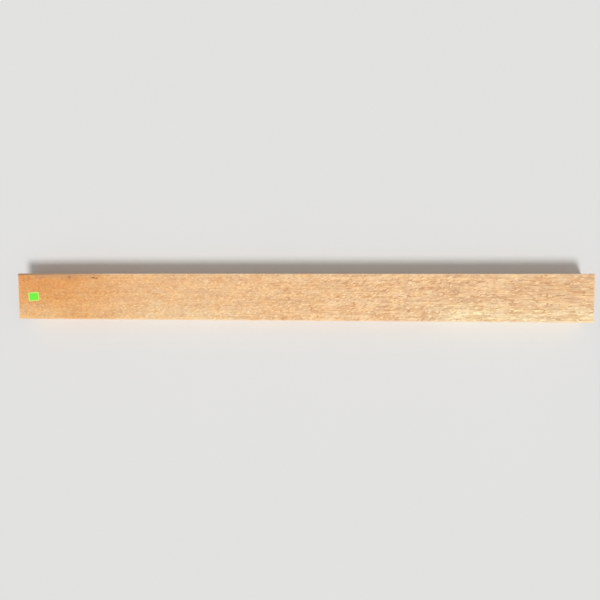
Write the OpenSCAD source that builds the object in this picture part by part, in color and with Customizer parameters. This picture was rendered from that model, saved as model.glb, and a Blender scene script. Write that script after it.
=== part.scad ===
// Sawn hardwood plank that lies flat, with a small blank stock label near one end.
// The grain runs along X and the show face looks up.
// The origin is the middle of the underside.

/* [Plank] */
// Length along the grain, mm
plank_length = 1215; // [400:5:2400]
// Width of the face, mm
plank_width = 100; // [60:1:240]
// Thickness between the face and the underside, mm
plank_thickness = 50; // [20:1:100]
// Radius that eases the four long arrises, mm
arris_radius = 1; // [0.3:0.1:4]
// Bevel that eases the saw-cut edges around both ends, mm
end_bevel = 0.6; // [0.2:0.1:3]

/* [Wane] */
// Length over which the wane fades out along the far arris, from the labelled end, mm
wane_length = 210; // [80:5:360]
// Width of the wane on the face at the labelled end, mm
wane_width = 4; // [2:0.5:20]
// Depth of the wane on the far edge at the labelled end, mm
wane_depth = 3; // [2:0.5:16]

/* [Label] */
// Length of the label along the plank, mm
label_length = 24; // [10:0.5:40]
// Width of the label across the plank, mm
label_width = 19.5; // [10:0.5:40]
// Thickness of the label's paper, mm
label_thickness = 0.2; // [0.1:0.05:0.6]
// Radius of the label's corners, mm
label_corner_radius = 1.5; // [0.5:0.1:4]
// Distance from the labelled end to the middle of the label, mm
label_inset = 35.5; // [34:0.5:150]
// Distance of the label's middle from the middle of the face, towards the far edge, mm
label_across = -0.5; // [-6:0.5:6]
// Turn of the label against the grain, degrees
label_turn = 6; // [-20:0.5:20]

/* [Hidden] */
$fn = 64;
labelled_end = -plank_length / 2;
far_edge = plank_width / 2;
// The wane is a plane through one point on each of the three edges that meet at the far corner
wane_normal = [-1 / wane_length, 1 / wane_width, 1 / wane_depth];
wane_tilt = acos(wane_normal.z / norm(wane_normal));
wane_heading = atan2(wane_normal.y, wane_normal.x);
wane_block = 3 * max(wane_length, wane_width, wane_depth);

// Rectangle about the origin with round corners
module rounded_rectangle(length, width, radius) {
    square([length - 2 * radius, width], center = true);
    square([length, width - 2 * radius], center = true);
    for (x = [-1, 1], y = [-1, 1])
        translate([x * (length / 2 - radius), y * (width / 2 - radius)])
            circle(radius);
}

// Rectangle about the origin with its corners cut off at 45 degrees
module bevelled_rectangle(length, width, bevel) {
    x = length / 2;
    y = width / 2;
    polygon([
        [bevel - x, -y], [x - bevel, -y], [x, bevel - y], [x, y - bevel],
        [x - bevel, y], [bevel - x, y], [-x, y - bevel], [-x, bevel - y]
    ]);
}

// Sawn section along the whole length, with its long arrises eased
module sawn_section() {
    rotate([90, 0, 90])
        linear_extrude(plank_length, center = true)
            rounded_rectangle(plank_width, plank_thickness, arris_radius);
}

// Outline seen from above, which bevels the upright edges of the ends
module plan_outline() {
    linear_extrude(plank_thickness, center = true)
        bevelled_rectangle(plank_length, plank_width, end_bevel);
}

// Outline seen from the side, which bevels the level edges of the ends
module side_outline() {
    rotate([90, 0, 0])
        linear_extrude(plank_width, center = true)
            bevelled_rectangle(plank_length, plank_thickness, end_bevel);
}

// Block whose lower side is the tapering plane of the wane
module wane_cut() {
    translate([labelled_end + wane_length, far_edge, plank_thickness])
        rotate([0, wane_tilt, wane_heading])
            translate([-wane_block / 2, -wane_block / 2, 0])
                cube(wane_block);
}

// The sawn timber, one piece
module plank() {
    color("burlywood")
        difference() {
            translate([0, 0, plank_thickness / 2])
                intersection() {
                    sawn_section();
                    plan_outline();
                    side_outline();
                }
            wane_cut();
        }
}

// The paper label, stuck flat on the face
module label() {
    color("lawngreen")
        translate([labelled_end + label_inset, label_across, plank_thickness])
            rotate([0, 0, label_turn])
                linear_extrude(label_thickness)
                    rounded_rectangle(label_length, label_width, label_corner_radius);
}

plank();
label();
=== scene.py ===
"""Builds a sawn hardwood plank with a blank stock label, and the studio stage that it lies on."""

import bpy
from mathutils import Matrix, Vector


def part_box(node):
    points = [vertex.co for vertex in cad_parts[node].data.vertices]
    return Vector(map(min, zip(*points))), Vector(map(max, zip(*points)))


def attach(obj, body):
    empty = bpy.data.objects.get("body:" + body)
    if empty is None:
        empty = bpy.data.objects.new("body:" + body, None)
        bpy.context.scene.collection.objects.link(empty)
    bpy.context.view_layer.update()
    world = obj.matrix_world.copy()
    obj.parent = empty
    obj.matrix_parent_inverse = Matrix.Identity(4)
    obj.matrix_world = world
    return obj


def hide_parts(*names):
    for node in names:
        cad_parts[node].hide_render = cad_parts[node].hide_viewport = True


bl_info = {
    "name": "Sawn Plank",
    "version": (1, 0, 0),
    "blender": (4, 5, 0),
    "location": "View3D > Sidebar > Plank",
    "description": "Builds a sawn hardwood plank with a blank stock label on a plain studio stage",
    "category": "Add Mesh",
}

import math

import bmesh
import bpy
import numpy as np
from bpy.props import FloatProperty, FloatVectorProperty, PointerProperty
from mathutils import Vector

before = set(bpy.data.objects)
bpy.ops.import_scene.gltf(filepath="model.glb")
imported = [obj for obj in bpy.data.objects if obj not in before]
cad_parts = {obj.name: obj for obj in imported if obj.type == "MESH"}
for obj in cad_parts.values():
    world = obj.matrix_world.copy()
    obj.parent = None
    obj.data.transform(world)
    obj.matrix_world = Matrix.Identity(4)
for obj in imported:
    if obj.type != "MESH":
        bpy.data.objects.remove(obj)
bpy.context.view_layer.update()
plank_low, plank_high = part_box("plank")
label_low, label_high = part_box("label")
plank_size = plank_high - plank_low
label_middle = (label_low + label_high) / 2

MM = 0.001

# Meshing. One subdivide makes 100 cuts at most, so the length is cut into bays first, then into cells.
LENGTH_BAYS = 28
LABEL_CELLS = 12

# How near a point is to an arris to lie on it, and to the wane's plane to be joined to its cut
TOUCHING = 0.01 * MM
WELDED = 0.05 * MM

# Angle between two faces past which their edge stays sharp
SMOOTH_ANGLE = math.radians(35)

# Worn surfaces: scale of the planing waves and of the wear, the wear's contrast, and the share of the
# label's diagonal past which its corner is loose
WAVE_SCALE = 0.05
WEAR_SCALE = 0.012
WEAR_CONTRAST = 2.0
LOOSE_FROM = 0.45

# Map that the finish is baked on, with its row heights and gaps as shares of its side
BAKE_MAP = "OFBake"
PIXEL = 1 / 1024
FACE_ROW = 240 * PIXEL
EDGE_ROW = 66 * PIXEL
UNDERSIDE_ROW = 84 * PIXEL
END_ROW = 110 * PIXEL
MAP_GAP = 9 * PIXEL

# Tints that multiply the ground colour: the dark and pale sides of the grain, the warm and cool patches,
# and the saw-cut ends
BROWN_LABELLED_END = (0.74, 0.66, 0.58, 1)
BROWN_PLAIN_END = (0.73, 0.68, 0.625, 1)
CREAM = (1.20, 1.45, 1.57, 1)
WARM_PATCH = (1.014, 0.986, 0.94, 1)
COOL_PATCH = (0.986, 1.014, 1.06, 1)
SAWN_DARK = (0.60, 0.52, 0.46, 1)
SAWN_PALE = (0.74, 0.67, 0.61, 1)

# Strengths along the plank: the value at the labelled end, then runs of the length. A run goes from
# one share of the length to another and changes the value by its third number.
PALE_STREAKS = (
    0.36, (0.05, 0.11, -0.24), (0.16, 0.22, 0.24), (0.37, 0.47, -0.36),
    (0.70, 0.80, 1.0), (0.80, 0.88, -0.3),
)
FAR_CORNER = (0.65, (0.05, 0.16, -0.53), (0.26, 0.36, -0.12))
FLECK_CONTRAST = (1.0, (0.2, 0.4, 0.09), (0.58, 0.68, 0.26), (0.74, 0.92, -0.4))
LONG_STREAKS = (0.25, (0.2, 0.75, 1.0))
WIDE_PATCHES = (0.0, (0.35, 0.6, 0.6))
BRIGHT_FLECKS = (0.36, (0.38, 0.52, 0.2))
DARK_STROKES = (0.15, (0.2, 0.9, 2.25))

# Flecks for each millimetre of length at the labelled end and at the plain end, where they are longest
FLECKS_FIRST = 1 / 6
FLECKS_LAST = 1 / 18

# Middle of the growth rings, in millimetres from the middle of the plank and down from its face
PITH_ACROSS = 230
PITH_DOWN = 24

# Gum marks on the face: middle along and across, half length and half width in millimetres, and strength
GUM_MARKS = (
    (-437.0, 40.8, 5.0, 2.1, 0.95),
    (-430.0, 39.6, 3.4, 1.6, 0.85),
    (-491.3, 42.0, 5.6, 3.0, 0.7),
    (-489.5, 37.0, 2.4, 4.5, 0.25),
    (-343.0, 2.0, 5.0, 1.1, 0.35),
)


def srgb(red, green, blue):
    """A colour as a screen shows it, from 0 to 255, in the linear light that shaders use."""
    shares = (red / 255, green / 255, blue / 255)
    return tuple(c / 12.92 if c <= 0.04045 else ((c + 0.055) / 1.055) ** 2.4 for c in shares)


class PlankSizes(bpy.types.PropertyGroup):
    """Sizes of the sawn timber and of the mesh that shows it"""

    length: FloatProperty(
        name="Length", description="Length along the grain",
        default=plank_size.x, min=0.1, unit="LENGTH")
    width: FloatProperty(
        name="Width", description="Width of the face",
        default=plank_size.y, min=0.02, unit="LENGTH")
    thickness: FloatProperty(
        name="Thickness", description="Height from the underside to the face",
        default=plank_size.z, min=0.01, unit="LENGTH")
    arris_radius: FloatProperty(
        name="Arris radius", description="Radius that eases the long arrises",
        default=1.0 * MM, min=0.2 * MM, unit="LENGTH")
    end_bevel: FloatProperty(
        name="End bevel", description="Bevel that eases the saw-cut edges around the ends",
        default=0.6 * MM, min=0.1 * MM, unit="LENGTH")
    wane_length: FloatProperty(
        name="Wane length", description="Length over which the wane fades out along the far arris",
        default=210 * MM, min=20 * MM, unit="LENGTH")
    wane_width: FloatProperty(
        name="Wane width", description="Width of the wane on the face at the labelled end",
        default=4 * MM, min=1 * MM, unit="LENGTH")
    wane_depth: FloatProperty(
        name="Wane depth", description="Depth of the wane on the far edge at the labelled end",
        default=3 * MM, min=1 * MM, unit="LENGTH")
    arris_wear: FloatProperty(
        name="Arris wear", description="Most that handling has taken off the long arrises",
        default=0.5 * MM, min=0.0, unit="LENGTH")
    face_waves: FloatProperty(
        name="Face waves", description="Depth of the long shallow waves that planing leaves",
        default=0.25 * MM, min=0.0, unit="LENGTH")
    cell_length: FloatProperty(
        name="Cell length", description="Length of a mesh cell along the grain",
        default=3.0 * MM, min=1 * MM, unit="LENGTH")
    cell_width: FloatProperty(
        name="Cell width", description="Width of a mesh cell across the grain",
        default=2.5 * MM, min=1 * MM, unit="LENGTH")


class TimberFinish(bpy.types.PropertyGroup):
    """Colours of the bare timber"""

    labelled_end: FloatVectorProperty(
        name="Labelled end", description="Colour of the timber at the labelled end",
        default=srgb(232, 161, 97), size=3, subtype="COLOR")
    middle: FloatVectorProperty(
        name="Middle", description="Colour of the timber over the middle",
        default=srgb(239, 184, 133), size=3, subtype="COLOR")
    plain_end: FloatVectorProperty(
        name="Plain end", description="Colour of the timber at the plain end",
        default=srgb(237, 185, 137), size=3, subtype="COLOR")
    pale: FloatVectorProperty(
        name="Pale streaks", description="Colour of the pale streaks along the near edge",
        default=srgb(249, 210, 161), size=3, subtype="COLOR")
    far_corner: FloatVectorProperty(
        name="Far corner", description="Colour towards the far corner of the labelled end",
        default=srgb(227, 146, 80), size=3, subtype="COLOR")
    pore: FloatVectorProperty(
        name="Pores", description="Colour inside the open pores",
        default=srgb(150, 98, 58), size=3, subtype="COLOR")
    gum: FloatVectorProperty(
        name="Gum marks", description="Colour of the small gum marks",
        default=srgb(132, 80, 36), size=3, subtype="COLOR")
    worn: FloatVectorProperty(
        name="Worn arrises", description="Colour of the arrises where handling has cleaned them",
        default=srgb(246, 222, 192), size=3, subtype="COLOR")
    # Painted shade: the darker colour laid on the wane and on the band beside it, standing for the shade of
    # the far arris, whose slope faces away from the light.
    wane: FloatVectorProperty(
        name="Wane", description="Colour of the weathered wane",
        default=srgb(188, 151, 117), size=3, subtype="COLOR")


class LabelSizes(bpy.types.PropertyGroup):
    """Sizes, place and colour of the blank label"""

    length: FloatProperty(
        name="Length", description="Length along the plank",
        default=24 * MM, min=5 * MM, unit="LENGTH")
    width: FloatProperty(
        name="Width", description="Width across the plank",
        default=19.5 * MM, min=5 * MM, unit="LENGTH")
    thickness: FloatProperty(
        name="Thickness", description="Thickness of the paper",
        default=label_high.z - label_low.z, min=0.05 * MM, unit="LENGTH")
    corner_radius: FloatProperty(
        name="Corner radius", description="Radius of the corners",
        default=1.5 * MM, min=0.2 * MM, unit="LENGTH")
    turn: FloatProperty(
        name="Turn", description="Turn against the grain",
        default=math.radians(6), subtype="ANGLE", unit="ROTATION")
    lift: FloatProperty(
        name="Corner lift", description="How far the loosest corner has lifted",
        default=0.3 * MM, min=0.0, unit="LENGTH")
    border: FloatProperty(
        name="Border", description="Width of the pale border",
        default=2.4 * MM, min=0.2 * MM, unit="LENGTH")
    paper: FloatVectorProperty(
        name="Paper", description="Colour of the paper",
        default=srgb(114, 244, 66), size=3, subtype="COLOR")
    rim: FloatVectorProperty(
        name="Rim", description="Colour of the pale border",
        default=srgb(203, 236, 116), size=3, subtype="COLOR")


class StageSettings(bpy.types.PropertyGroup):
    """Floor, light and camera"""

    floor: FloatVectorProperty(
        name="Floor", description="Colour of the floor",
        default=srgb(227, 227, 226), size=3, subtype="COLOR")
    floor_size: FloatProperty(
        name="Floor size", description="Length of each side of the floor",
        default=60.0, min=2.0, unit="LENGTH")
    key_strength: FloatProperty(
        name="Key", description="Strength of the key light",
        default=2.11, min=0.0)
    key_heading: FloatProperty(
        name="Key heading", description="Side that the key light comes from, turned from the plain end",
        default=math.radians(-70.66), subtype="ANGLE", unit="ROTATION")
    key_height: FloatProperty(
        name="Key height", description="How far the key light stands above the horizon",
        default=math.radians(58), subtype="ANGLE", unit="ROTATION")
    key_softness: FloatProperty(
        name="Key softness", description="Width of the key light as seen from the plank",
        default=math.radians(20), subtype="ANGLE", unit="ROTATION")
    fill_strength: FloatProperty(
        name="Fill", description="Strength of the even light from all round",
        default=0.42, min=0.0)
    backdrop: FloatProperty(
        name="Backdrop", description="Tone that the camera sees past the floor, where 1 is white",
        default=0.76, min=0.0, max=1.0, subtype="FACTOR")
    lens: FloatProperty(
        name="Lens", description="Focal length of the camera in millimetres",
        default=26.0, min=5.0, subtype="DISTANCE_CAMERA")
    camera_place: FloatVectorProperty(
        name="Camera place", description="Place of the camera above the plank",
        default=(66.718 * MM, 40.777 * MM, 959.137 * MM), size=3, subtype="TRANSLATION", unit="LENGTH")
    camera_turn: FloatVectorProperty(
        name="Camera turn", description="Turn of the camera from looking straight down",
        default=(math.radians(-2.9126), math.radians(3.5135), math.radians(0.0621)),
        size=3, subtype="EULER", unit="ROTATION")


# Shader maths

class Wire:
    """An output socket that takes part in Python arithmetic."""

    def __init__(self, graph, socket):
        self.graph = graph
        self.socket = socket

    def __add__(self, other):
        return self.graph.maths("ADD", self, other)

    __radd__ = __add__

    def __sub__(self, other):
        return self.graph.maths("SUBTRACT", self, other)

    def __rsub__(self, other):
        return self.graph.maths("SUBTRACT", other, self)

    def __mul__(self, other):
        return self.graph.maths("MULTIPLY", self, other)

    __rmul__ = __mul__

    def __truediv__(self, other):
        return self.graph.maths("DIVIDE", self, other)

    def __rtruediv__(self, other):
        return self.graph.maths("DIVIDE", other, self)

    def __abs__(self):
        return self.graph.maths("ABSOLUTE", self)


class Graph:
    """Node tree that is written as expressions."""

    def __init__(self, tree):
        self.tree = tree
        self.tree.nodes.clear()

    def node(self, kind, settings=None, sockets=None, output=0):
        """Adds a node: its settings come first, then the values or links of its sockets."""
        made = self.tree.nodes.new(kind)
        for name, value in (settings or {}).items():
            setattr(made, name, value)
        for name, value in (sockets or {}).items():
            if isinstance(value, Wire):
                self.tree.links.new(value.socket, made.inputs[name])
            else:
                made.inputs[name].default_value = value
        return Wire(self, made.outputs[output]) if made.outputs else None

    def maths(self, operation, a, b=0.0, clamp=False):
        """Adds a Math node."""
        settings = {"operation": operation, "use_clamp": clamp}
        return self.node("ShaderNodeMath", settings, {0: a, 1: b})

    def larger(self, a, b):
        """The larger of two values."""
        return self.maths("MAXIMUM", a, b)

    def clamped(self, value):
        """A value kept between 0 and 1."""
        return self.maths("ADD", value, 0.0, clamp=True)

    def smooth(self, value, low, high):
        """Smooth step from 0 at low to 1 at high."""
        settings = {"interpolation_type": "SMOOTHSTEP"}
        sockets = {"Value": value, "From Min": low, "From Max": high, "To Min": 0.0, "To Max": 1.0}
        return self.node("ShaderNodeMapRange", settings, sockets)

    def remap(self, value, low, high, new_low, new_high):
        """Straight change of range that stops at both ends."""
        sockets = {"Value": value, "From Min": low, "From Max": high, "To Min": new_low, "To Max": new_high}
        return self.node("ShaderNodeMapRange", {"clamp": True}, sockets)

    def split(self, vector):
        """The three parts of a vector."""
        first = self.node("ShaderNodeSeparateXYZ", None, {0: vector})
        return [Wire(self, socket) for socket in first.socket.node.outputs]

    def vector(self, x, y, z):
        """A vector from its three parts."""
        return self.node("ShaderNodeCombineXYZ", None, {"X": x, "Y": y, "Z": z})

    def length(self, x, y):
        """Length of a flat vector."""
        return self.maths("SQRT", x * x + y * y)

    def scaled(self, vector, by):
        """A vector made longer or shorter, or a colour made lighter or darker, as a whole."""
        return self.node("ShaderNodeVectorMath", {"operation": "SCALE"}, {0: vector, "Scale": by})

    def place(self):
        """Place on the piece, in metres."""
        return self.node("ShaderNodeTexCoord", output="Object")

    def noise(self, vector, detail=2.0, roughness=0.5):
        """Even noise, about 0 to 1 with 0.5 in the middle, with cells about one unit across."""
        sockets = {"Vector": vector, "Scale": 1.0, "Detail": detail, "Roughness": roughness}
        return self.node("ShaderNodeTexNoise", {"noise_dimensions": "3D"}, sockets)

    def blend(self, factor, a, b, mode="MIX"):
        """Mixes two colours."""
        settings = {"data_type": "RGBA", "blend_type": mode}
        return self.node("ShaderNodeMix", settings, {0: factor, 6: a, 7: b}, output=2)

    def bump(self, height, distance, strength=1.0):
        """Normal of a surface that has the given height."""
        sockets = {"Height": height, "Distance": distance, "Strength": strength}
        return self.node("ShaderNodeBump", None, sockets)

    def surface(self, colour, roughness, shine, **others):
        """Joins the finished values to the surface shader and the output."""
        sockets = {"Base Color": colour, "Roughness": roughness, "Specular IOR Level": shine, **others}
        shader = self.node("ShaderNodeBsdfPrincipled", None, sockets)
        self.node("ShaderNodeOutputMaterial", None, {"Surface": shader})


def rgba(colour):
    """A colour that covers fully."""
    return (*colour, 1.0)


def new_material(name):
    """An empty material and its node tree."""
    material = bpy.data.materials.new(name)
    material.use_nodes = True
    return material, Graph(material.node_tree)


# Materials

class Timber:
    """Solid pattern of quarter-sawn timber, worked out in millimetres from the middle of the underside."""

    def __init__(self, graph, sizes):
        self.g = graph
        self.x, self.y, self.z = graph.split(graph.scaled(graph.place(), 1 / MM))
        self.sizes = sizes
        self.half = sizes.length / MM / 2
        self.side = sizes.width / MM / 2
        self.top = sizes.thickness / MM
        self.along = self.x / (2 * self.half) + 0.5

        # Layers that several parts of the finish share
        self.streak = self.noise(110, 2.4, 2.4, detail=3.0, roughness=0.55)
        self.fibre = self.noise(9, 0.8, 0.8, detail=3.0, roughness=0.6)
        self.cloud = self.noise(45, 16, 16, shift=2.0, detail=3.0)
        self.kerf = self.noise(50, 60, 0.5, shift=3.0)
        self.pore = graph.smooth(self.noise(5, 0.28, 0.28, shift=11.0, detail=1.0), 0.16, 0.28)
        self.end = graph.smooth(abs(self.x), self.half - 0.5, self.half - 0.1)
        self.fleck, self.stroke, self.bright = self.rays()
        # Where the wane lies: this mask carries the painted shade there and the extra roughness
        self.wane = 1 - graph.smooth(self.past_wane() + self.cloud * 0.4 + self.streak * 0.3, 0.05, 0.45)

    def noise(self, length, width, depth, shift=0.0, detail=2.0, roughness=0.5):
        """Noise about zero whose cells have the given size along, across and through the plank."""
        vector = self.g.vector(self.x / length + shift, self.y / width, self.z / depth)
        return self.g.noise(vector, detail, roughness) - 0.5

    def over(self, low, high):
        """Smooth step along the plank, between two shares of its length."""
        return self.g.smooth(self.along, low, high)

    def profile(self, first, *runs):
        """A strength along the plank that starts at a value and changes over some runs of the length."""
        value = first
        for low, high, change in runs:
            value = value + self.over(low, high) * change
        return value

    def rays(self):
        """Thin sheets that meet the face at a low angle: the flecks, dark strokes and bright spots there."""
        g = self.g
        mean = (FLECKS_FIRST + FLECKS_LAST) / 2
        growth = (FLECKS_LAST - FLECKS_FIRST) / (4 * self.half)
        steps = self.x * mean + self.x * self.x * growth

        # Level of a point among the sheets, which rise across the face and sink along it
        wander = self.noise(70, 35, 60) * g.remap(self.along, 0.3, 0.7, 1.0, 0.6)
        slope = g.remap(self.along, 0.0, 1.0, 0.165, 0.11)
        sheet = (self.z - self.top) + slope * self.y + wander - self.over(0.45, 0.83) * 11
        fleck = g.noise(g.vector(steps, self.y / 26, sheet / 0.55), detail=3.0, roughness=0.65) - 0.5

        # Dark strokes are outlines of cells, on one side only and with gaps, so that they close no loops
        cell, beyond = (
            g.noise(g.vector(steps * 0.7 + 31, self.y / 20, sheet / 0.8 + shift), detail=1.0)
            for shift in (0.0, 0.2)
        )
        rim = 1 - g.smooth(abs(cell - 0.58), 0.0, 0.055)
        one_side = g.smooth(beyond - cell, -0.04, 0.02)
        gaps = self.noise(12, 4, 4, shift=5.0, detail=1.0)
        stroke = rim * one_side * g.smooth(gaps, -0.10, 0.04)
        bright = g.noise(g.vector(steps * 1.5 + 57, self.y / 12, sheet / 0.42), detail=1.0)
        return fleck, stroke, g.smooth(bright, 0.58, 0.68)

    def rings(self):
        """Growth rings about a pith beyond the far edge."""
        radius = self.g.length(self.y - PITH_ACROSS, self.z - (self.top - PITH_DOWN))
        return self.g.noise(self.g.vector(self.x / 400, radius / 5, 3.1), roughness=0.6) - 0.5

    def mark(self, x, y, length, width):
        """A small mark on the face, given by its middle and its half length and half width."""
        away = self.g.length((self.x - x) / length, (self.y - y) / width)
        ragged = away + self.noise(3, 1.5, 1.5) * 1.2
        return (1 - self.g.smooth(ragged, 0.45, 1.15)) * self.g.smooth(self.z, self.top - 3, self.top - 1)

    def arrises(self):
        """All twelve arrises, worn unevenly and along the fibres."""
        g = self.g

        def towards(place, limit):
            return g.smooth(abs(place), limit - 4.5, limit - 0.5)

        side = towards(self.y, self.side)
        level = towards(self.z - self.top / 2, self.top / 2)
        end = towards(self.x, self.half)
        near = g.larger(side * level, g.larger(side * end * 0.7, level * end))
        uneven = self.noise(30, 30, 30, shift=4.0, detail=3.0)
        uneven = uneven + self.noise(5, 1.0, 1.0, shift=6.0, detail=3.0)
        return g.smooth(near + uneven * 1.5, 0.4, 0.8) * g.smooth(near, 0.0, 0.2)

    def past_wane(self):
        """How far a point lies behind the tapering plane of the wane, in wane depths."""
        x = (self.x + self.half) / (self.sizes.wane_length / MM)
        y = (self.side - self.y) / (self.sizes.wane_width / MM)
        z = (self.top - self.z) / (self.sizes.wane_depth / MM)
        return x + y + z - 1


def ground_colour(t, finish):
    """Slow change of colour from end to end, pale streaks along the near edge and a redder far corner."""
    g = t.g
    toned = t.along + t.cloud * 0.1
    colour = g.blend(g.smooth(toned, 0.06, 0.28), rgba(finish.labelled_end), rgba(finish.middle))
    colour = g.blend(g.smooth(toned, 0.45, 0.85), colour, rgba(finish.plain_end))
    near = 1 - g.smooth(t.y + t.cloud * 24 + t.streak * 10, -t.side * 0.75, -t.side * 0.1)
    colour = g.blend(near * t.profile(*PALE_STREAKS), colour, rgba(finish.pale))
    far = g.smooth(t.y + t.cloud * 20, 0.0, t.side * 0.8)
    return g.blend(far * t.profile(*FAR_CORNER), colour, rgba(finish.far_corner))


def grained(t, colour, finish):
    """Moves the colour between brown and cream by flecks, streaks and fibres; adds patches and pores."""
    g = t.g
    contrast = t.profile(*FLECK_CONTRAST)
    share = 0.49 + t.fleck * 1.25 * contrast + t.streak * t.profile(*LONG_STREAKS)
    share = share + t.cloud * 0.6 + t.rings() * (0.3 + t.end * 0.9) + t.fibre * 0.5
    share = share + t.noise(34, 11, 11, shift=21.0) * t.profile(*WIDE_PATCHES)
    share = share + t.bright * t.profile(*BRIGHT_FLECKS) * contrast
    share = share - t.stroke * t.profile(*DARK_STROKES) * contrast
    brown = g.blend(t.over(0.35, 0.75), BROWN_LABELLED_END, BROWN_PLAIN_END)
    colour = g.blend(1.0, colour, g.blend(g.clamped(share), brown, CREAM), mode="MULTIPLY")
    patch = g.blend(g.smooth(t.noise(36, 16, 16, shift=9.0), -0.14, 0.14), WARM_PATCH, COOL_PATCH)
    colour = g.blend(1.0, colour, patch, mode="MULTIPLY")
    return g.blend(t.pore * 0.4, colour, rgba(finish.pore))


def marked(t, colour, finish):
    """Gum marks, worn arrises, and painted shade that darkens the wane and a band along the far arris beside
    it.
    """
    g = t.g
    for x, y, length, width, strength in GUM_MARKS:
        colour = g.blend(t.mark(x, y, length, width) * strength, colour, rgba(finish.gum))
    colour = g.blend(t.arrises() * 0.5, colour, rgba(finish.worn))
    # Painted shade beside the wane: a band along the far arris and a wider fade at the far corner of the
    # labelled end, darkened with the wane's colour.
    beside = (t.side - t.y) + (t.top - t.z) + t.cloud * 6
    arris_shade_band = 1 - g.smooth(beside, 2.5, 7.5)
    corner_shade = (1 - g.smooth(beside, 1.0, 18.0)) * 0.45 * t.over(0.0, 0.05)
    painted_shade = g.larger(arris_shade_band * 0.85, corner_shade) * (1 - t.over(0.09, 0.20))
    # Painted shade: the wane and the band beside it take the darker wane colour.
    return g.blend(g.larger(t.wane * 0.8, painted_shade), colour, rgba(finish.wane))


def saw_cut(t, colour):
    """Darkens the ends, with faint marks of the saw's teeth."""
    sawn = t.g.blend(t.g.smooth(t.kerf, -0.2, 0.2), SAWN_DARK, SAWN_PALE)
    return t.g.blend(t.end * 0.85, colour, sawn, mode="MULTIPLY")


def timber_material(sizes, finish):
    """Bare quarter-sawn timber, whose flecks shine a little and whose ends and wane are the roughest."""
    material, g = new_material("timber")
    t = Timber(g, sizes)
    colour = grained(t, ground_colour(t, finish), finish)
    colour = saw_cut(t, marked(t, colour, finish))
    roughness = 0.62 - g.clamped(t.fleck + 0.5) * 0.15 + t.pore * 0.1 + g.larger(t.end, t.wane) * 0.15
    height = t.fibre * 0.05 - t.pore * 0.08 + t.fleck * 0.03 + t.kerf * t.end * 0.25
    g.surface(colour, roughness, 0.35, Normal=g.bump(height, MM))
    return material


def paper_material(settings):
    """Matt bright paper with a pale border, a faint mottle and fibres."""
    material, g = new_material("label_paper")
    place = g.place()
    x, y = g.split(place)[:2]
    x, y = x - label_middle.x, y - label_middle.y
    cosine, sine = math.cos(settings.turn), math.sin(settings.turn)
    from_end = settings.length / 2 - abs(x * cosine + y * sine)
    from_side = settings.width / 2 - abs(y * cosine - x * sine)
    from_rim = g.maths("MINIMUM", from_end, from_side)
    inside = g.smooth(from_rim, settings.border * 0.95, settings.border * 1.05)
    cloud = g.noise(g.scaled(place, 220.0), 3.0)
    fibres = g.noise(g.scaled(place, 4000.0))
    colour = g.blend(inside, rgba(settings.rim), rgba(settings.paper))
    colour = g.scaled(colour, 0.94 + cloud * 0.12)
    g.surface(colour, 0.5 + fibres * 0.2, 0.3, Normal=g.bump(fibres, 0.02 * MM, 0.3))
    return material


def floor_material(settings):
    """Plain pale floor with a faint mottle."""
    material, g = new_material("floor")
    cloud = g.noise(g.scaled(g.place(), 3.0), 3.0)
    g.surface(g.scaled(tuple(settings.floor), 0.99 + cloud * 0.02), 0.9, 0.0)
    return material


# Modelling

def start_piece(name):
    """Names the new primitive, puts its place in its mesh and opens it for editing."""
    piece = bpy.context.object
    piece.name = name
    piece.data.name = name
    bpy.ops.object.transform_apply(location=True, rotation=True, scale=True)
    bpy.ops.object.mode_set(mode="EDIT")
    bpy.context.tool_settings.mesh_select_mode = (False, True, False)
    return piece


def select_edges(piece, chosen):
    """Selects the edges that a test picks, and no others."""
    mesh = bmesh.from_edit_mesh(piece.data)
    bpy.ops.mesh.select_all(action="DESELECT")
    for edge in mesh.edges:
        edge.select = chosen(edge)
    mesh.select_flush_mode()
    bmesh.update_edit_mesh(piece.data)


def cut_along(piece, axis, parts):
    """Cuts every edge that lies along an axis into equal parts."""
    def lies_along(edge):
        way = (edge.verts[1].co - edge.verts[0].co).normalized()
        return abs(way[axis]) > 0.999

    select_edges(piece, lies_along)
    bpy.ops.mesh.subdivide(number_cuts=parts - 1)


def cut_with(place, facing, weld=0.1 * MM):
    """Cuts the whole mesh along a plane."""
    bpy.ops.mesh.select_all(action="SELECT")
    bpy.ops.mesh.bisect(plane_co=place, plane_no=facing, threshold=weld)


def apply_modifiers(piece):
    """Applies a piece's modifiers in their order."""
    for modifier in list(piece.modifiers):
        bpy.ops.object.modifier_apply(modifier=modifier.name)


def read(items, name, width, kind=np.float32):
    """One property of all items, a row for each."""
    flat = np.empty(len(items) * width, kind)
    items.foreach_get(name, flat)
    return flat.reshape(-1, width)


def points_of(piece):
    """Places of a piece's points, a row for each."""
    return read(piece.data.vertices, "co", 3).astype(float)


def move_points(piece, points):
    """Moves a piece's points to new places."""
    piece.data.vertices.foreach_set("co", points.astype(np.float32).ravel())
    piece.data.update()


def ease_edges(piece, sizes):
    """Rounds the long arrises, then bevels the edges around both ends."""
    def on_arris(point):
        level = min(point.z, sizes.thickness - point.z)
        return sizes.width / 2 - abs(point.y) < TOUCHING and level < TOUCHING

    def around_end(edge):
        facing = sorted(abs(face.normal.x) for face in edge.link_faces)
        return facing[0] < 0.1 and facing[-1] > 0.9

    select_edges(piece, lambda edge: all(on_arris(v.co) for v in edge.verts))
    bpy.ops.mesh.bevel(offset=sizes.arris_radius, segments=3, profile=0.5, affect="EDGES")
    select_edges(piece, around_end)
    bpy.ops.mesh.bevel(offset=sizes.end_bevel, segments=2, profile=0.5, affect="EDGES")


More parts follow.
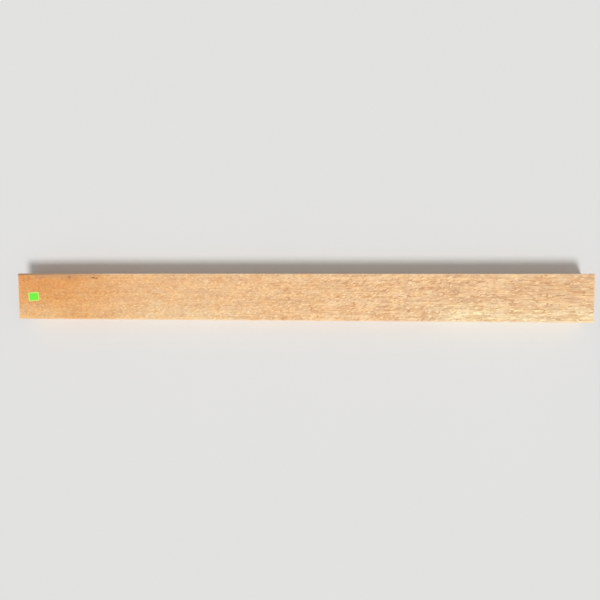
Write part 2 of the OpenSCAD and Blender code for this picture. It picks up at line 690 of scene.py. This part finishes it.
def wane_plane(sizes):
    """The far corner of the labelled end, and the slopes of the wane's plane about it."""
    corner = np.array((-sizes.length / 2, sizes.width / 2, sizes.thickness))
    return corner, np.array((1 / sizes.wane_length, -1 / sizes.wane_width, -1 / sizes.wane_depth))


def behind_wane(points, sizes):
    """How far points lie behind the wane's plane, in wane depths; those outside it are below zero."""
    corner, inward = wane_plane(sizes)
    return (points - corner) @ inward - 1


def shave_wane(piece, sizes):
    """Cuts along the wane's tapering plane and moves what lies outside it back onto it."""
    corner, inward = wane_plane(sizes)
    fades_out = corner + (sizes.wane_length, 0, 0)
    cut_with(fades_out, inward / np.linalg.norm(inward), WELDED)
    bpy.ops.object.mode_set(mode="OBJECT")
    points = points_of(piece)
    outside = np.clip(behind_wane(points, sizes), None, 0)
    points -= outside[:, None] * inward / (inward @ inward)
    move_points(piece, points)


def mark_arrises(piece, sizes):
    """Puts the points near an arris in a group, with less weight beside the wane and none on it."""
    group = piece.vertex_groups.new(name="arris")
    points = points_of(piece)
    reach = 1.5 * sizes.arris_radius
    at_side = sizes.width / 2 - np.abs(points[:, 1]) < reach
    at_level = np.minimum(points[:, 2], sizes.thickness - points[:, 2]) < reach
    at_end = sizes.length / 2 - np.abs(points[:, 0]) < reach
    on_arris = at_side.astype(int) + at_level + at_end >= 2
    weight = (behind_wane(points, sizes) * 3).clip(0, 1)
    for index in np.flatnonzero(on_arris):
        group.add([int(index)], weight[index], "REPLACE")
    return group.name


def sink(piece, name, scale, depth, contrast=1.0, group=""):
    """Adds a modifier that sinks the surface unevenly, by a depth at most."""
    cloud = bpy.data.textures.new(name, "CLOUDS")
    cloud.noise_scale = scale
    cloud.contrast = contrast
    modifier = piece.modifiers.new(name, "DISPLACE")
    modifier.texture = cloud
    modifier.texture_coords = "LOCAL"
    modifier.vertex_group = group
    modifier.strength = depth
    modifier.mid_level = 1.0


def wear_down(piece, sizes):
    """Long shallow planing waves all over, and worn spots along the arrises."""
    sink(piece, "waves", WAVE_SCALE, sizes.face_waves)
    sink(piece, "wear", WEAR_SCALE, sizes.arris_wear, WEAR_CONTRAST, mark_arrises(piece, sizes))
    apply_modifiers(piece)


def lay_out(piece, sizes):
    """Lays the sides out in rows on one map, the face and both edges in two lengths, for a sharp bake."""
    mesh = piece.data
    normals = read(mesh.polygons, "normal", 3)
    axis = np.abs(normals).argmax(1)
    outward = normals[np.arange(len(axis)), axis] > 0
    second = read(mesh.polygons, "center", 3)[:, 0] > 0
    counts = read(mesh.polygons, "loop_total", 1, np.int32)[:, 0]
    axis, outward, second = (np.repeat(values, counts) for values in (axis, outward, second))
    corners = read(mesh.loops, "vertex_index", 1, np.int32)[:, 0]
    size = np.array((sizes.length, sizes.width, sizes.thickness))
    along, across, up = (points_of(piece)[corners] / size + (0.5, 0.5, 0.0)).T

    # Each row has its height and its patches, and a patch has its corners and their place on it
    rows = []
    for half in (0, 1):
        rows.append((FACE_ROW, [((axis == 2) & outward & (second == half), along * 2 - half, across)]))
        for side in (False, True):
            edge = (axis == 1) & (outward == side) & (second == half)
            rows.append((EDGE_ROW, [(edge, along * 2 - half, up)]))
    rows.append((UNDERSIDE_ROW, [((axis == 2) & ~outward, along, across)]))
    rows.append((END_ROW, [((axis == 0) & (outward == side), across, up) for side in (False, True)]))

    places = np.zeros((len(corners), 2), np.float32)
    floor = MAP_GAP
    for height, patches in rows:
        for column, (chosen, u, v) in enumerate(patches):
            places[chosen, 0] = (column + MAP_GAP + u[chosen] * (1 - 2 * MAP_GAP)) / len(patches)
            places[chosen, 1] = floor + v[chosen] * height
        floor += height + MAP_GAP
    mesh.uv_layers.new(name=BAKE_MAP).uv.foreach_set("vector", places.ravel())


def model_plank(sizes):
    """A block cut into cells, with eased arrises, the wane and worn edges."""
    bpy.ops.object.select_all(action="DESELECT")
    bpy.ops.mesh.primitive_cube_add(size=1, location=(0, 0, sizes.thickness / 2), calc_uvs=False)
    bpy.context.object.scale = (sizes.length, sizes.width, sizes.thickness)
    piece = start_piece("sawn_plank")
    cut_along(piece, 2, round(sizes.thickness / sizes.cell_width))
    cut_along(piece, 1, round(sizes.width / sizes.cell_width))
    cut_along(piece, 0, LENGTH_BAYS)
    cut_along(piece, 0, round(sizes.length / LENGTH_BAYS / sizes.cell_length))
    ease_edges(piece, sizes)
    shave_wane(piece, sizes)
    wear_down(piece, sizes)
    bpy.ops.object.shade_smooth_by_angle(angle=SMOOTH_ANGLE)
    lay_out(piece, sizes)
    return piece


def model_label(sizes):
    """A square of paper with round corners, stuck down but for one corner that has lifted a little."""
    bpy.ops.object.select_all(action="DESELECT")
    bpy.ops.mesh.primitive_plane_add(size=1, location=(0, 0, 0))
    bpy.context.object.scale = (sizes.length, sizes.width, 1)
    piece = start_piece("blank_label")
    bpy.ops.mesh.select_all(action="SELECT")
    bpy.ops.mesh.bevel(offset=sizes.corner_radius, segments=5, affect="VERTICES")
    for cut in range(1, LABEL_CELLS):
        share = cut / LABEL_CELLS - 0.5
        cut_with((share * sizes.length, 0, 0), (1, 0, 0))
        cut_with((0, share * sizes.width, 0), (0, 1, 0))
    bpy.ops.object.mode_set(mode="OBJECT")
    points = points_of(piece)
    corner = points[:, 0] / sizes.length + points[:, 1] / sizes.width
    points[:, 2] += sizes.lift * ((corner - LOOSE_FROM) / (1 - LOOSE_FROM)).clip(0, 1) ** 2
    move_points(piece, points)
    solid = piece.modifiers.new("paper", "SOLIDIFY")
    solid.thickness = sizes.thickness
    solid.offset = 1.0
    apply_modifiers(piece)
    piece.location = (label_middle.x, label_middle.y, label_low.z)
    piece.rotation_euler = (0, 0, sizes.turn)
    bpy.ops.object.transform_apply(location=True, rotation=True, scale=True)
    bpy.ops.object.shade_smooth_by_angle(angle=SMOOTH_ANGLE)
    return piece


def hand_in(piece, node, material):
    """Gives the piece its material and sets it in the place of its solid."""
    piece.data.materials.clear()
    piece.data.materials.append(material)
    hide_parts(node)
    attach(piece, "root")


# Stage

def add_floor(settings):
    """A wide plain floor, level with the underside of the plank."""
    bpy.ops.mesh.primitive_plane_add(size=settings.floor_size, location=(0, 0, 0))
    floor = bpy.context.object
    floor.name = "floor"
    floor.data.materials.append(floor_material(settings))


def add_key(settings):
    """A soft sun from the near side of the plank."""
    bpy.ops.object.light_add(type="SUN")
    key = bpy.context.object
    key.name = "key"
    reach = math.cos(settings.key_height)
    towards = Vector((
        math.cos(settings.key_heading) * reach,
        math.sin(settings.key_heading) * reach,
        math.sin(settings.key_height),
    ))
    key.rotation_euler = towards.to_track_quat("Z", "Y").to_euler()
    key.data.energy = settings.key_strength
    key.data.angle = settings.key_softness


def light_world(scene, settings):
    """Even fill light, with the floor's own pale tone where the camera sees past the floor."""
    world = bpy.data.worlds.new("studio")
    world.use_nodes = True
    scene.world = world
    g = Graph(world.node_tree)
    seen = g.node("ShaderNodeLightPath", output="Is Camera Ray")
    rays = seen.socket.node.outputs
    for kind in ("Is Glossy Ray", "Is Transmission Ray"):
        seen = g.larger(seen, Wire(g, rays[kind]))
    strength = g.remap(seen, 0.0, 1.0, settings.fill_strength, settings.backdrop)
    light = g.node("ShaderNodeBackground", None, {"Color": (1, 1, 1, 1), "Strength": strength})
    g.node("ShaderNodeOutputWorld", None, {"Surface": light})


def add_camera(scene, settings):
    """A camera that looks down on the face."""
    bpy.ops.object.camera_add(location=settings.camera_place, rotation=settings.camera_turn)
    camera = bpy.context.object
    camera.name = "camera"
    camera.data.lens = settings.lens
    scene.camera = camera
    scene.view_settings.view_transform = "Standard"


# Operators and panel

class PLANK_OT_plank(bpy.types.Operator):
    """Models the sawn timber and gives it its bare finish"""

    bl_idname = "plank.make_plank"
    bl_label = "Make plank"

    def execute(self, context):
        sizes = context.scene.plank_sizes
        piece = model_plank(sizes)
        hand_in(piece, "plank", timber_material(sizes, context.scene.timber_finish))
        return {"FINISHED"}


class PLANK_OT_label(bpy.types.Operator):
    """Models the blank paper label"""

    bl_idname = "plank.make_label"
    bl_label = "Make label"

    def execute(self, context):
        sizes = context.scene.label_sizes
        piece = model_label(sizes)
        hand_in(piece, "label", paper_material(sizes))
        return {"FINISHED"}


class PLANK_OT_stage(bpy.types.Operator):
    """Sets up the floor, the light and the camera"""

    bl_idname = "plank.make_stage"
    bl_label = "Make stage"

    def execute(self, context):
        settings = context.scene.stage_settings
        bpy.ops.object.select_all(action="DESELECT")
        add_floor(settings)
        add_key(settings)
        light_world(context.scene, settings)
        add_camera(context.scene, settings)
        return {"FINISHED"}


class PLANK_PT_panel(bpy.types.Panel):
    """Lists the steps that build the plank and its stage"""

    bl_label = "Sawn Plank"
    bl_idname = "PLANK_PT_panel"
    bl_space_type = "VIEW_3D"
    bl_region_type = "UI"
    bl_category = "Plank"

    def draw(self, context):
        for step in STEPS:
            self.layout.operator(step.bl_idname)


STEPS = (PLANK_OT_stage, PLANK_OT_plank, PLANK_OT_label)
GROUPS = {
    "plank_sizes": PlankSizes,
    "timber_finish": TimberFinish,
    "label_sizes": LabelSizes,
    "stage_settings": StageSettings,
}


def register():
    """Registers the classes and gives the scene their settings."""
    for cls in (*GROUPS.values(), *STEPS, PLANK_PT_panel):
        bpy.utils.register_class(cls)
    for name, group in GROUPS.items():
        setattr(bpy.types.Scene, name, PointerProperty(type=group))


def unregister():
    """Takes the settings and the classes away again."""
    for name in GROUPS:
        delattr(bpy.types.Scene, name)
    for cls in (PLANK_PT_panel, *reversed(STEPS), *reversed(GROUPS.values())):
        bpy.utils.unregister_class(cls)


def main():
    """Builds the stage, the plank and the label."""
    register()
    bpy.ops.plank.make_stage()
    bpy.ops.plank.make_plank()
    bpy.ops.plank.make_label()


if __name__ == "__main__":
    main()
